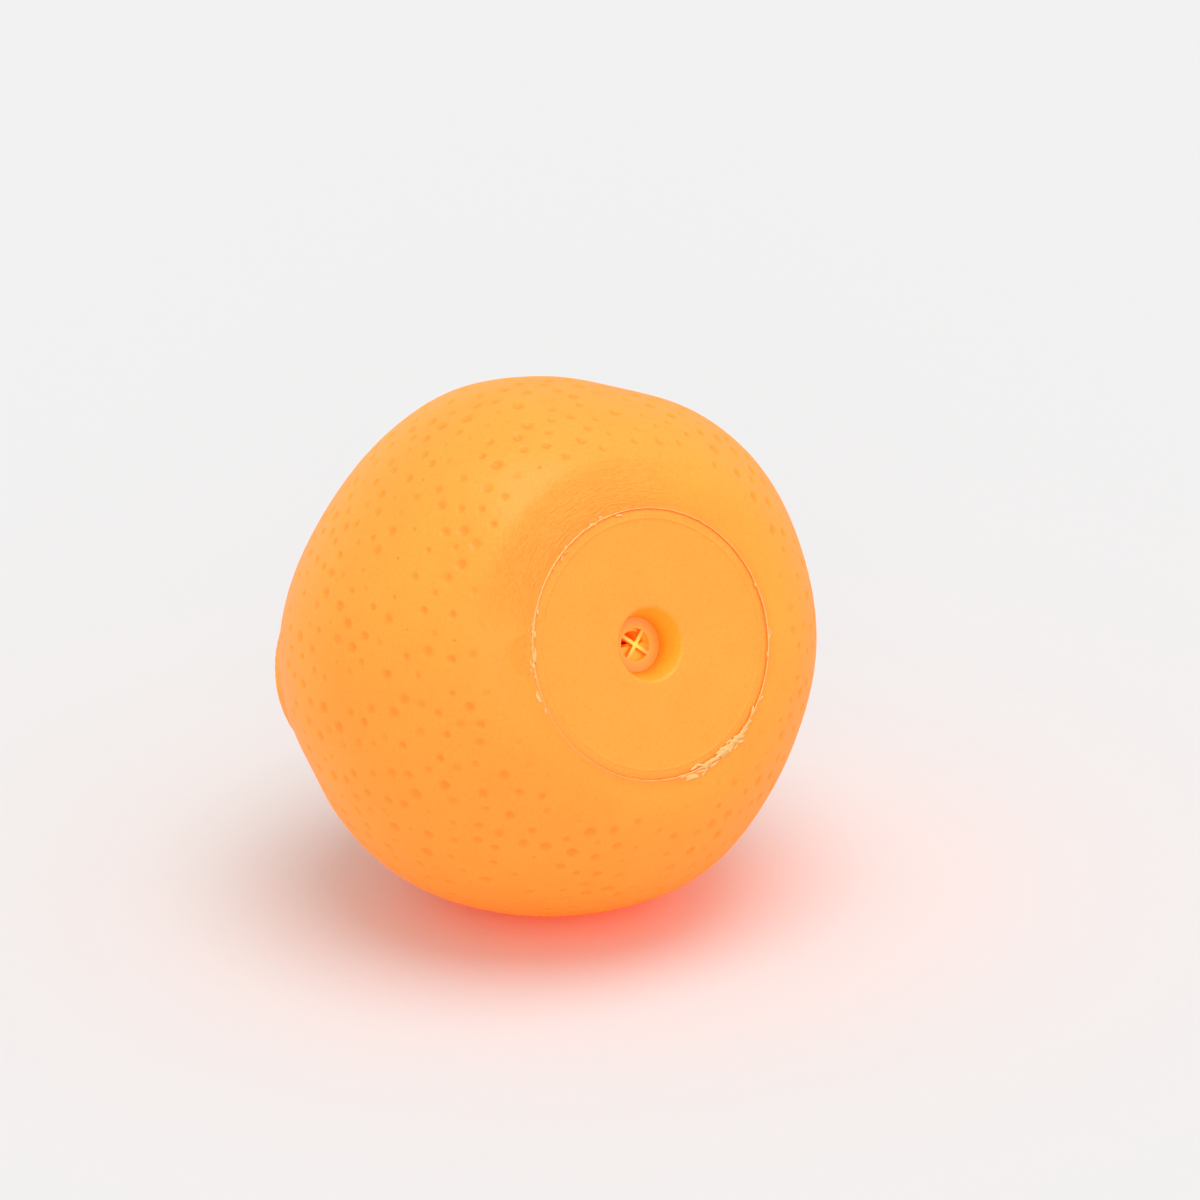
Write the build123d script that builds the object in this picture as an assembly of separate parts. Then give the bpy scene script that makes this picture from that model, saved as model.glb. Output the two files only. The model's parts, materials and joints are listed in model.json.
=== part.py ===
from build123d import *
import math
import os

# A soft vinyl squeaky toy shaped like an orange, in millimetres.
#
# Every piece is drawn in the toy's own axes: +Z runs from the base to the crown, and the outer
# face of the base is at z = 0. lay_down() then lays the whole toy on its side, as it lies on a
# floor: +Z up, the floor at z = 0, the base facing -Y and tilted up, the box centred on X and Y.

# ---- The ball ----
BALL_RADIUS = 37.5            # at the equator: the toy is 75 mm across
EQUATOR_Z = 28.4              # height of the equator above the base
CROWN_HEIGHT = 36.0           # from the equator to the top
CROWN_ARC = 39.0              # the top is a little flatter than a sphere
LOWER_ARC = 34.15             # radius of the flank below the equator
SKIN = 2.0                    # thickness of the moulded vinyl skin
SHOULDER_SLOPE = 0.16         # rise of the smooth band round the base, per mm of radius
SHOULDER_FILLET = 6.0         # where that band turns into the flank
CROWN_SPLIT_Z = 50.0          # the crown above this height moves when the toy is squeezed
CROWN_GAP = 0.2               # between the wall and the crown, so that they never overlap

# ---- The base plug, glued into the skin's opening ----
PLUG_RADIUS = 18.75
PLUG_FLANGE = 1.8             # thickness of the flange that fills the opening
SPIGOT_RADIUS = 17.2          # the step that goes inside the skin's ledge
SPIGOT_END_Z = 3.8
GLUE_GAP = 0.05
RIM_RADIUS = 21.5             # the thickened rim of the skin round the opening
RIM_END_Z = 4.0
BEVEL_WIDTH = 0.9             # bevelled edge of the plug's outer face
BEVEL_DEPTH = 0.35
MOUTH_RADIUS = 5.1            # tapered air hole: its mouth, its floor and its depth
MOUTH_FILLET = 0.6
HOLE_FLOOR_RADIUS = 3.8
HOLE_DEPTH = 4.3
NECK_RADIUS = 7.6             # the neck inside the plug that grips the squeaker
NECK_END_Z = 14.0
NECK_FILLET = 1.5

# ---- The squeaker ----
CASE_RADIUS = 5.5
CASE_LENGTH = 12.0
CASE_WALL = 0.8
RIDGE_HEIGHT = 0.4            # ring round the case that snaps into the neck's groove
RIDGE_WIDTH = 1.2
RIDGE_Z = 9.0
SEAT_GAP = 0.05               # between the case and its socket
GRILLE_RADIUS = 2.3           # round opening in the case's face, crossed by two bars
GRILLE_BAR = 0.5
GRILLE_ANGLE = 44.0           # of one bar, from the toy's X axis
CAP_THICKNESS = 0.9
CAP_SPIGOT = 2.0
CAP_HOLE_RADIUS = 1.3         # air hole
INNER_GAP = 0.05              # round the pieces pressed into the case

# ---- The reed, inside the squeaker ----
COLLAR_LENGTH = 2.5
TROUGH_RADIUS = 2.6
TROUGH_BORE = 1.9
TROUGH_LENGTH = 6.5           # beyond the collar
TROUGH_END_WALL = 0.7
REED_WIDTH = 4.6
REED_THICKNESS = 0.15
REED_LIFT = 3.5               # degrees that the tongue stands open at rest
REED_START_GAP = 0.05         # between the clamp and the free tongue
REED_SEAT_GAP = 0.02          # left under the tongue when it closes on the trough

# ---- How the toy lies ----
BASE_TILT = 22.0              # degrees that the base faces above the horizontal
REST_DENT = 0.6               # how far the soft flank flattens on the floor

CASE_Z = HOLE_DEPTH                          # outer face of the squeaker
CASE_END_Z = CASE_Z + CASE_LENGTH
CHAMBER_RADIUS = CASE_RADIUS - CASE_WALL
COLLAR_Z = CASE_Z + CASE_WALL
CLAMP_Z = COLLAR_Z + COLLAR_LENGTH           # where the reed leaves its clamp
BEYOND = 100.0                               # larger than the toy, for cutting blocks
CUT = 1.0                                    # how far a cutting tool runs past a face


def round_bar(radius, low, high):
    """A round bar on the toy's axis from one height to another."""
    on_end = (Align.CENTER, Align.CENTER, Align.MIN)
    return Pos(0, 0, low) * Cylinder(radius, high - low, align=on_end)


def upper_arc():
    """Radius of the flank above the equator, which meets the crown's arc without a corner."""
    drop = CROWN_ARC - CROWN_HEIGHT
    return (CROWN_ARC**2 - BALL_RADIUS**2 - drop**2) / (2 * (CROWN_ARC - BALL_RADIUS))


def shoulder_corner(inset):
    """Where the sloping shoulder meets the lower flank, in radius and height."""
    across = PLUG_RADIUS - (BALL_RADIUS - LOWER_ARC)
    down = inset - EQUATOR_Z
    a = 1 + SHOULDER_SLOPE**2
    b = across + SHOULDER_SLOPE * down
    c = across**2 + down**2 - (LOWER_ARC - inset) ** 2
    run = (math.sqrt(b * b - a * c) - b) / a
    return PLUG_RADIUS + run, inset + SHOULDER_SLOPE * run


def ball_solid(inset):
    """The ball with its flat base, smaller by inset all round."""
    lower_x = BALL_RADIUS - LOWER_ARC
    upper_x = BALL_RADIUS - upper_arc()
    crown_z = EQUATOR_Z + CROWN_HEIGHT - CROWN_ARC
    corner_x, corner_z = shoulder_corner(inset)
    below = math.degrees(math.atan2(EQUATOR_Z - corner_z, corner_x - lower_x))
    above = math.degrees(math.atan2(EQUATOR_Z - crown_z, upper_x))
    top_z = crown_z + CROWN_ARC - inset
    base = Polyline((0, top_z), (0, inset), (PLUG_RADIUS, inset), (corner_x, corner_z))
    lower = CenterArc((lower_x, EQUATOR_Z), LOWER_ARC - inset, -below, below)
    upper = CenterArc((upper_x, EQUATOR_Z), upper_arc() - inset, 0, above)
    crown = CenterArc((0, crown_z), CROWN_ARC - inset, above, 90 - above)
    outline = make_face([base, lower, upper, crown])
    rounded = [point for point in outline.vertices() if abs(point.X - corner_x) < 0.01]
    outline = fillet(rounded, SHOULDER_FILLET - inset)
    return revolve(Plane.XZ * outline, Axis.Z)


def down_in_toy():
    """The direction of gravity, in the toy's own axes, once the toy lies on its side."""
    tilt = math.radians(BASE_TILT)
    return Vector(0, math.cos(tilt), math.sin(tilt))


def rest_distance():
    """From the middle of the equator to the floor."""
    arc = upper_arc()
    return (BALL_RADIUS - arc) * math.cos(math.radians(BASE_TILT)) + arc - REST_DENT


def floor_block():
    """Everything below the floor, in the toy's own axes."""
    point = Vector(0, 0, EQUATOR_Z) + down_in_toy() * rest_distance()
    return Plane(point, z_dir=down_in_toy()) * Box(
        BEYOND, BEYOND, BEYOND, align=(Align.CENTER, Align.CENTER, Align.MIN)
    )


def whole_skin():
    """The hollow moulded skin, with the rebated opening that takes the plug."""
    outside = ball_solid(0)
    skin = outside - ball_solid(SKIN)
    skin += outside & round_bar(RIM_RADIUS, 0, RIM_END_Z)
    skin -= round_bar(PLUG_RADIUS + GLUE_GAP, -CUT, PLUG_FLANGE + GLUE_GAP)
    skin -= round_bar(SPIGOT_RADIUS + GLUE_GAP, -CUT, RIM_END_Z + CUT)
    return skin - floor_block()


def skin_wall():
    """The skin from the base opening up to the crown: it crumples when the toy is squeezed."""
    return whole_skin() & round_bar(BEYOND, -CUT, CROWN_SPLIT_Z)


def skin_crown():
    """The domed end of the skin, which the squeeze pushes towards the base."""
    return whole_skin() & round_bar(BEYOND, CROWN_SPLIT_Z + CROWN_GAP, BEYOND)


def base_plug():
    """Flat disc with a tapered air hole, a spigot inside the skin, and the squeaker's neck."""
    plug = round_bar(PLUG_RADIUS, 0, PLUG_FLANGE)
    plug = chamfer(plug.edges().sort_by(Axis.Z)[0], BEVEL_DEPTH, BEVEL_WIDTH)
    plug += round_bar(SPIGOT_RADIUS, PLUG_FLANGE, SPIGOT_END_Z)
    plug += round_bar(NECK_RADIUS, PLUG_FLANGE, NECK_END_Z)
    foot = [
        edge
        for edge in plug.edges().filter_by(GeomType.CIRCLE)
        if abs(edge.radius - NECK_RADIUS) < 0.01 and abs(edge.center().Z - SPIGOT_END_Z) < 0.01
    ]
    plug = fillet(foot, NECK_FILLET)
    taper = Cone(
        MOUTH_RADIUS, HOLE_FLOOR_RADIUS, HOLE_DEPTH, align=(Align.CENTER, Align.CENTER, Align.MIN)
    )
    plug -= taper
    mouth = [
        edge
        for edge in plug.edges().filter_by(GeomType.CIRCLE)
        if abs(edge.radius - MOUTH_RADIUS) < 0.01
    ]
    plug = fillet(mouth, MOUTH_FILLET)
    plug -= round_bar(CASE_RADIUS + SEAT_GAP, CASE_Z, NECK_END_Z + CUT)
    ridge_half = RIDGE_WIDTH / 2 + SEAT_GAP
    plug -= round_bar(CASE_RADIUS + RIDGE_HEIGHT + SEAT_GAP, RIDGE_Z - ridge_half, RIDGE_Z + ridge_half)
    return plug


def squeaker_case():
    """Barrel with a snap ring and a face whose round opening is crossed by two bars."""
    case = round_bar(CASE_RADIUS, CASE_Z, CASE_END_Z)
    ridge = round_bar(CASE_RADIUS + RIDGE_HEIGHT, RIDGE_Z - RIDGE_WIDTH / 2, RIDGE_Z + RIDGE_WIDTH / 2)
    case += chamfer(ridge.edges().filter_by(GeomType.CIRCLE), RIDGE_HEIGHT / 2)
    case -= round_bar(CHAMBER_RADIUS, CASE_Z + CASE_WALL, CASE_END_Z + CUT)
    opening = round_bar(GRILLE_RADIUS, CASE_Z - CUT, CASE_Z + CASE_WALL + CUT)
    case -= opening
    face = round_bar(GRILLE_RADIUS + CUT, CASE_Z, CASE_Z + CASE_WALL)
    for quarter in (0, 90):
        bar = Box(4 * GRILLE_RADIUS, GRILLE_BAR, 4 * CASE_WALL)
        turned = Pos(0, 0, CASE_Z) * Rot(0, 0, GRILLE_ANGLE + quarter) * bar
        case += face & turned
    return case


def squeaker_cap():
    """Inner end of the squeaker: a lid with a ring that presses into the barrel, and an air hole."""
    ring_radius = CHAMBER_RADIUS - INNER_GAP
    cap = round_bar(CASE_RADIUS, CASE_END_Z, CASE_END_Z + CAP_THICKNESS)
    cap = fillet(cap.edges().sort_by(Axis.Z)[-1], CAP_THICKNESS / 3)
    cap += round_bar(ring_radius, CASE_END_Z - CAP_SPIGOT, CASE_END_Z)
    cap -= round_bar(ring_radius - CASE_WALL, CASE_END_Z - CAP_SPIGOT - CUT, CASE_END_Z)
    return cap - round_bar(CAP_HOLE_RADIUS, CASE_END_Z - CUT, CASE_END_Z + CAP_THICKNESS + CUT)


def above_reed(height):
    """Everything on the reed's side of the trough, from this height over its flat rim."""
    return Pos(0, height, 0) * Box(
        BEYOND, BEYOND, BEYOND, align=(Align.CENTER, Align.MIN, Align.CENTER)
    )


def reed_trough():
    """Collar pressed into the barrel, with a half-round trough that the reed lies over."""
    trough_end = CLAMP_Z + TROUGH_LENGTH
    trough = round_bar(TROUGH_RADIUS, COLLAR_Z, trough_end)
    trough -= round_bar(TROUGH_BORE, COLLAR_Z - CUT, trough_end - TROUGH_END_WALL)
    trough -= above_reed(0)
    collar = round_bar(CHAMBER_RADIUS - INNER_GAP, COLLAR_Z, CLAMP_Z)
    collar -= round_bar(TROUGH_RADIUS, COLLAR_Z - CUT, CLAMP_Z + CUT)
    return trough + collar


def reed_root():
    """The end of the reed strip that the wedge clamps on the trough."""
    return Pos(0, REED_SEAT_GAP, COLLAR_Z) * Box(
        REED_WIDTH, REED_THICKNESS, COLLAR_LENGTH, align=(Align.CENTER, Align.MIN, Align.MIN)
    )


def reed_tongue():
    """The free end of the reed strip, which stands a little off the trough and beats on it."""
    strip = Pos(0, REED_SEAT_GAP, REED_START_GAP) * Box(
        REED_WIDTH,
        REED_THICKNESS,
        TROUGH_LENGTH - 2 * REED_START_GAP,
        align=(Align.CENTER, Align.MIN, Align.MIN),
    )
    return Pos(0, 0, CLAMP_Z) * Rot(-REED_LIFT, 0, 0) * strip


def reed_wedge():
    """Half-round wedge pushed into the collar over the reed's root."""
    wedge = round_bar(TROUGH_RADIUS - INNER_GAP, COLLAR_Z, CLAMP_Z)
    return wedge & above_reed(REED_THICKNESS + 2 * REED_SEAT_GAP)


PIECES = {
    "skin_wall": skin_wall,
    "skin_crown": skin_crown,
    "base_plug": base_plug,
    "squeaker_case": squeaker_case,
    "squeaker_cap": squeaker_cap,
    "reed_trough": reed_trough,
    "reed_root": reed_root,
    "reed_tongue": reed_tongue,
    "reed_wedge": reed_wedge,
}


def lay_down(solids):
    """The place that lays the toy on its side on the floor, centred on X and Y."""
    turn = Rot(-(90 + BASE_TILT), 0, 0)
    box = Compound(children=[turn * solid for solid in solids]).bounding_box()
    return Pos(-box.center().X, -box.center().Y, -box.min.Z) * turn


drawn = {name: make() for name, make in PIECES.items()}
PLACE = lay_down(list(drawn.values()))

if __name__ == "__main__":
    os.makedirs("parts", exist_ok=True)
    for name, solid in drawn.items():
        export_step(PLACE * solid, f"parts/{name}.step")
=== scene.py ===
import bmesh
import bpy
import json
import math
import numpy as np
from mathutils import Matrix, Vector, noise
from mathutils.geometry import delaunay_2d_cdt


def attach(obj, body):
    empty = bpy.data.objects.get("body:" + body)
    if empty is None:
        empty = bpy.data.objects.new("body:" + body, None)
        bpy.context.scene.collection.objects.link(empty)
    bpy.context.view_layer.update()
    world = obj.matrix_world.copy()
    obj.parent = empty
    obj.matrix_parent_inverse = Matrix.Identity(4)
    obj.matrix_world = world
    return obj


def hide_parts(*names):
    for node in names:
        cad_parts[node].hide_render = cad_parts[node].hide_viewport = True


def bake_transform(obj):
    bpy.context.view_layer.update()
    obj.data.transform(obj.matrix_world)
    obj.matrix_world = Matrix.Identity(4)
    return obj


# A soft vinyl squeaky toy shaped like an orange, lying on its side. Metres.
# Shapes are drawn in the toy's own axes (base at z = 0, crown up) and laid down by to_row().
# Directions round the base and the outline are clock angles in degrees: 0 is the photograph's
# right, 90 is up.

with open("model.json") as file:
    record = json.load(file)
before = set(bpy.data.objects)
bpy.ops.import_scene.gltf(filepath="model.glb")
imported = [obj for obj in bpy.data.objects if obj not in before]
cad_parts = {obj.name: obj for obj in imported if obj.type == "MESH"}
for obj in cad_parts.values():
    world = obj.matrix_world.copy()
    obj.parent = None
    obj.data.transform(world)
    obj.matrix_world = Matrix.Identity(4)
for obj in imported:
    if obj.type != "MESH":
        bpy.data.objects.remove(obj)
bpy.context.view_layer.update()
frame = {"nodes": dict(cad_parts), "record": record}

MM = 0.001

# ---- The ball, as the frame has it ----
BALL_RADIUS = 37.5 * MM
EQUATOR_Z = 28.4 * MM
CROWN_HEIGHT = 36.0 * MM        # crown above the equator
CROWN_ARC = 39.0 * MM
LOWER_ARC = 34.15 * MM
SHOULDER_SLOPE = 0.16
SHOULDER_FILLET = 14.0 * MM     # softer than the frame's
SEAM_RADIUS = 18.8 * MM
# points on each stretch of the profile
SHOULDER_STEPS = 40
FILLET_STEPS = 60
LOWER_STEPS = 400
UPPER_STEPS = 300
CROWN_STEPS = 300

# ---- The soft skin's unevenness ----
# clock angle on the outline, height in millimetres, spread in degrees
LUMPS = [
    (3, 0.25, 12),
    (45, 1.5, 17),
    (75, -0.4, 7),
    (110, 0.6, 9),
    (148, -1.1, 15),
    (182, 0.3, 10),
    (208, -0.35, 5),
    (238, 0.55, 12),
    (303, 0.75, 11),
    (338, -0.55, 13),
]
LUMP_DEPTH_SPREAD = 32          # degrees, towards and away from the viewer
LUMP_START = 5.0 * MM           # lumps rise over this distance from the seam
RIPPLE = 0.16 * MM              # slow unevenness all over
RIPPLE_LENGTH = 15 * MM

# ---- The moulded leaf and stem on the crown ----
LEAF_CLOCK = 189
LEAF_LENGTH = 41 * MM
LEAF_HALF_WIDTH = 12.5 * MM
LEAF_WIDEST = 1.25              # over 1 moves the widest part towards the tip
LEAF_ROUNDNESS = 0.8            # under 1 fills the leaf's outline out
LEAF_HEIGHT = 0.75 * MM
LEAF_EDGE = 0.7 * MM            # width of the slope at the leaf's edge
TIP_SOFTNESS = 2.2              # times that width is added at the tip
VEIN_DEPTH = 0.45 * MM
VEIN_GAP = 5.0 * MM
VEIN_SLANT = 0.9                # steps along the leaf for each step across
MIDRIB_WIDTH = 0.55 * MM
VEIN_WIDTH = 0.45 * MM
VEIN_STRENGTH = 0.5             # of the midrib's depth
VEIN_MARGIN = 2 * MM            # veins fade towards the leaf's edge
VEIN_END = 0.8                  # of the leaf's length
VEIN_FADE = 6 * MM
STEM_RADIUS = 2.2 * MM
STEM_HEIGHT = 1.3 * MM
STEM_EDGE = 0.9 * MM
SEPALS = 5
SEPAL_REACH = 5.2 * MM
SEPAL_SWING = 0.28              # of the reach, from a sepal's tip to halfway down to the notch
SEPAL_HEIGHT = 0.6 * MM
SEPAL_EDGE = 0.8 * MM

# ---- The flat patch beside the seam ----
PATCH_CLOCK = 186
PATCH_OUT = 0.9 * MM            # its straight side, from the seam
PATCH_REACH = 2.6 * MM
PATCH_HALF_LENGTH = 3.3 * MM
PATCH_DEPTH = 0.16 * MM
PATCH_EDGE = 0.35               # patch_share() where it has its full depth
PATCH_SHADE = 0.45               # of the deeper colour, painted as shade in the sunk patch
PATCH_SHADE_EDGE = 0.3           # and where that painted shade is full
PATCH_SURROUND = -0.6           # patch_share() at the edge of its finer mesh

# ---- The dimples ----
DIMPLE_SEED = 7
DIMPLE_TRIES = 9000
DIMPLE_GAP = 2.6 * MM           # the least distance between two dimples
DIMPLE_RADIUS = (0.55, 1.0)     # least and most, in millimetres
DIMPLE_DEPTH = (0.24, 0.48)     # of the radius
PIN_SHARE = 0.1                 # of the dimples are pinholes
PIN_RADIUS = (0.26, 0.36)       # in millimetres
PIN_DEPTH = 0.6                 # of the radius
BAND_MIDDLE = 4.7 * MM          # no dimples this near the seam, on average
BAND_SWING = 2.0 * MM           # and this much further at BAND_CLOCK
BAND_CLOCK = 140
DIMPLE_FADE = 3.0 * MM          # shallow ones over the next stretch
SHALLOWEST = 0.3                # of a dimple's depth, at the band
LEAF_CLEARANCE = 1.2 * MM
DIMPLE_FULL_SHADE_DEPTH = 0.25 * MM         # a dimple this deep gets the full painted shade, in the deeper colour
# rings of a dimple: share of its radius, corners, share of its depth
RING_SHAPE = [(0.45, 6, 0.88), (0.78, 9, 0.42), (1.05, 11, 0.03), (1.4, 10, 0.0)]

# ---- The skin's mesh ----
FILL_SPACING = 0.95 * MM
FILL_CLEARANCE = 0.35 * MM      # round a dimple's last ring
FINE_SPACING = 0.45 * MM        # on the leaf and the patch
FINE_MARGIN = 0.7 * MM          # the finer mesh reaches this far past the leaf
COARSE_MARGIN = 1.0 * MM        # and the coarser one stops this far from it
SPIRAL_AREA = 0.87              # of the spacing squared, for each point of the spiral
RIM_SEGMENTS = 360              # points on each ring beside the seam
RIM_STEPS = (0.0, 0.12 * MM, 0.3 * MM, 0.55 * MM, 0.9 * MM, 1.4 * MM, 2.1 * MM)
RIM_CLEARANCE = 0.4 * MM
WIDEST_FACE = 2.5 * MM          # wider ones span the opening at the base
MERGE_DISTANCE = 1e-9
BLOCK = 2000                    # points tested at a time
FLOOR_CLEARANCE = 0.02 * MM

# ---- The base plug, as the frame has it, with a bevel and a raised line ----
PLUG_RADIUS = 18.77 * MM
PLUG_FLANGE = 1.8 * MM
SPIGOT_RADIUS = 17.2 * MM
SPIGOT_END = 3.8 * MM
BEVEL_WIDTH = 0.9 * MM
BEVEL_DEPTH = 0.22 * MM
INNER_LINE = 17.35 * MM         # radius of the faint raised line
MOUTH_RADIUS = 5.1 * MM
MOUTH_ROUNDING = 0.55 * MM
HOLE_FLOOR_RADIUS = 3.8 * MM
HOLE_DEPTH = 4.3 * MM
MOUTH_STEPS = 9
NECK_RADIUS = 7.6 * MM
NECK_FILLET = 1.5 * MM
NECK_FILLET_STEPS = 6
NECK_END = 14.0 * MM
SOCKET_RADIUS = 5.56 * MM
GROOVE_RADIUS = 5.96 * MM
GROOVE_LOW = 8.35 * MM
GROOVE_HIGH = 9.65 * MM
PLUG_SEGMENTS = 240
# sections in millimetres, outwards and inwards: the raised line, and the bevel from its inner edge
# and from its outer one
LINE_SECTION = ((-0.14, 0), (-0.04, -0.09), (0.06, -0.07), (0.16, 0))
BEVEL_START = ((-0.12, 0), (0, 0.01), (0.15, 0.05))
BEVEL_END = ((-0.2, -0.06), (0, 0.1))
FACE_START = 7.0                # rings on the face, in millimetres
FACE_END = 17.1
FACE_STEP = 0.5
FACE_WAVE = 0.06 * MM           # the face is a little uneven
FACE_WAVE_LENGTH = 9 * MM
FACE_LIMIT = 0.02 * MM          # what is less deep than this counts as the face

# ---- The flash along the seam ----
FLASH_SEED = 11
FLASH_RADIUS = 18.76 * MM
FLASH_SEGMENTS = 900
FLASH_LEAST = 0.012             # height in millimetres where there is least of it
# where it stands up: middle and spread on the base's clock, and its height in millimetres
FLASH_RUNS = [
    (132, 24, 0.16),
    (181, 15, 0.18),
    (8, 17, 0.13),
    (305, 22, 0.18),
    (62, 14, 0.05),
    (245, 18, 0.04),
]
# its section: share of its half width, share of its height, and how deep its foot is sunk in millimetres
FLASH_SECTION = [(-1, 0, 0.12), (-0.55, 0.7, 0), (0, 1, 0), (0.55, 0.6, 0), (1, 0, 0.15)]
FLASH_HALF_WIDTH = 0.05 * MM    # at no height
FLASH_SPREAD = 0.5              # and this share of the height is added
FLASH_WANDER = 0.05 * MM        # how far it strays from its circle
FLASH_NOISE = 18                # radius of the circle on which its noises are read
FLASH_ROUGHNESS = [(0.55, 2.2), (0.3, 6)]    # share of the height, and waves a unit
FLASH_THINNEST = 0.15           # of the height, where the noises are lowest
FLASH_WANDER_WAVES = 1.3
FLASH_WANDER_SHIFT = Vector((5, 5, 5))       # to another part of the noise
# torn flakes: middle and spread on the clock, how many, and the longest in millimetres
FLASH_BITS = [
    (303, 9, 46, 2.4),
    (319, 7, 22, 2.0),
    (183, 11, 16, 1.8),
    (128, 16, 10, 1.2),
    (8, 14, 8, 1.0),
]
FLAKE_LEAN = 0.35               # radians, off the seam's direction
FLAKE_LENGTH = (0.3, 1)         # of the longest
FLAKE_HALF_WIDTH = (0.07, 0.18)     # of the flake's length
FLAKE_HALF_THICKNESS = (0.05, 0.14)     # in millimetres
FLAKE_SPREAD = 0.32 * MM        # across the seam
FLAKE_OUT = 0.1 * MM
FLAKE_SUNK = 0.03 * MM
FLAKE_SWELL = 0.45              # how uneven a flake is
FLAKE_WAVES = 1.6

# ---- Vinyl and plastic ----
VINYL = (1.0, 0.70, 0.10)
VINYL_THROUGH = (1.0, 0.43, 0.11)
# painted light: the disc's own copy of the vinyl reflects more and lets less through, so its face shows as
# bright as the ball though it gets less light
DISC_VINYL_PAINTED_LIGHT = (1.0, 0.66, 0.09)
FLASH_VINYL = (1.0, 0.63, 0.21)
FLASH_THROUGH = (1.0, 0.55, 0.2)
# partly the case's own orange tint, partly painted bounce light from the orange vinyl round it
CASE_TINT_AND_BOUNCE = (1.0, 0.34, 0.08)
CASE_THROUGH = (1.0, 0.44, 0.13)
# partly the inner parts' own orange tint, partly painted bounce light from the vinyl round them
INNER_TINT_AND_BOUNCE = (1.0, 0.30, 0.03)
INNER_THROUGH = (1.0, 0.4, 0.06)
# the share of light that goes through: at the base, near the crown, and in the squeaker
SKIN_SHARE = 0.55
# painted light: the disc lets less through than the skin, so it reflects more and looks brighter
DISC_PAINTED_LIGHT_SHARE = 0.45
FLASH_SHARE = 0.12
CROWN_SHARE = 0.24
CASE_SHARE = 0.2
INNER_SHARE = 0.1
VINYL_ROUGHNESS = 0.36
VINYL_IOR = 1.5
PLASTIC_ROUGHNESS = 0.22
DEEPER_GREEN = 0.70             # the deeper colour, as shares of the vinyl's own green and blue; it shows random mottle and specks, and is painted shade in the dimples, the sunk patch and towards the crown
DEEPER_BLUE = 0.5
DIMPLE_SHADE_SHARE = 0.6              # of the deeper colour, painted as shade in a dimple
# ranges are given as from, to, and the shares of the deeper colour there
MOTTLE_RANGE = (0.3, 0.7, 0.0, 0.16)
SPECK_RANGE = (0.4, 0.72, 0.0, 0.4)
# painted shade: the colour deepens towards the crown, the side turned away from the lights
CROWN_SHADE_RANGE = (26 * MM, 56 * MM, 0.0, 1.0)
THROUGH_FROM = 22 * MM          # heights between which that share falls to the crown's
THROUGH_TO = 58 * MM
# noises: waves a metre, and detail
MOTTLE = (160.0, 4.0)
SPECK = (2400.0, 2.0)
GRAIN = (1500.0, 2.0)
GRAIN_HEIGHT = 0.35
BUMP_STRENGTH = 0.6
BUMP_DISTANCE = 0.12 * MM

# ---- The scratches in the smooth band ----
SCRATCH_CLOCK = 128
SCRATCH_HEIGHT = 11.0           # against a grain of 1
SCRATCH_ACROSS = 3600.0         # streaks a metre
SCRATCH_ALONG = 14.0            # streaks a radian
SCRATCH_DETAIL = 3.0
SCRATCH_MIDDLE = 22.5 * MM      # radius of their band
SCRATCH_BAND = (4.5 * MM, 2.0 * MM, 0.0, 1.0)    # they fade this far off it
SCRATCH_FACING = (0.55, 0.98, 0.0, 1.0)          # and away from SCRATCH_CLOCK, by the cosine
SCRATCH_TOP = 12 * MM           # none above this height

# ---- The photograph's view ----
BASE_ACROSS = 0.5               # how far the base's normal points right, in the camera's view
BASE_UP = 0.015                 # and up
STEEPEST_VIEW = 80              # degrees
HALVINGS = 50
VIEW_DISTANCE = 2.4
SCALE = 7.2 / MM                # pixels a metre at the ball, in a frame of 1200
FRAME = 1200
SENSOR = 36                     # millimetres
AIM_RIGHT = 7.2 * MM            # the frame's middle, from the ball's
AIM_UP = 6.5 * MM
FAR_CLIP = 50

# ---- Light and floor, with angles in degrees ----
SOFTBOX_POWER = 1.48
SOFTBOX_ANGLE = 46
SOFTBOX_WAY = Vector((-0.04, 0.15, -1.15))
FILL_POWER = 0.25
FILL_ANGLE = 25
TENT_BRIGHTNESS = 0.84
FLOOR_GREY = 0.66
FLOOR_SIZE = 6
# lights inside the toy: name, height over the base and distance to the right in millimetres,
# watts, radius in millimetres, and green in the colour
GLOWS = [
    ("ball_glow", 28, 8, 0.048, 9, 0.13),
    ("squeaker_glow", 6.6, 0, 0.0003, 0.8, 0.42),
    ("hole_glow", 2.2, 0, 0.00055, 1.0, 0.8),
]
GLOW_BLUE = 0.3                 # of the green


# ---------------------------------------------------------------- axes and view
mounts = {mount["name"]: mount for mount in frame["record"]["mounts"]}
BASE_NORMAL = Vector(mounts["base_face"]["axis"]).normalized()
TOY_Z = -BASE_NORMAL
TOY_X = Vector((1, 0, 0))
TOY_Y = TOY_Z.cross(TOY_X)
BASE_MIDDLE = Vector((0, *mounts["base_face"]["pos_m"][1:]))
BALL_MIDDLE = BASE_MIDDLE + TOY_Z * EQUATOR_Z


def to_row(points):
    """Points in the toy's own axes, laid down in the frame."""
    axes = np.array([TOY_X, TOY_Y, TOY_Z])
    return points @ axes + np.array(BASE_MIDDLE)


def camera_directions():
    """The view's right, up and back, from how the base's normal stands in it."""
    tilt = math.asin(BASE_NORMAL.z)
    azimuth = math.asin(-BASE_ACROSS / math.cos(tilt))
    # the base's normal has an upward share of BASE_UP: found by halving
    low = 0.0
    high = math.radians(STEEPEST_VIEW)
    for _ in range(HALVINGS):
        middle = (low + high) / 2
        lean = math.sin(middle)
        up = Vector((-math.sin(azimuth) * lean, math.cos(azimuth) * lean, math.cos(middle)))
        if up.dot(BASE_NORMAL) > BASE_UP:
            low = middle
        else:
            high = middle
    right = Vector((math.cos(azimuth), math.sin(azimuth), 0))
    return right, up, right.cross(up)


RIGHT, UP, BACK = camera_directions()

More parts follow.
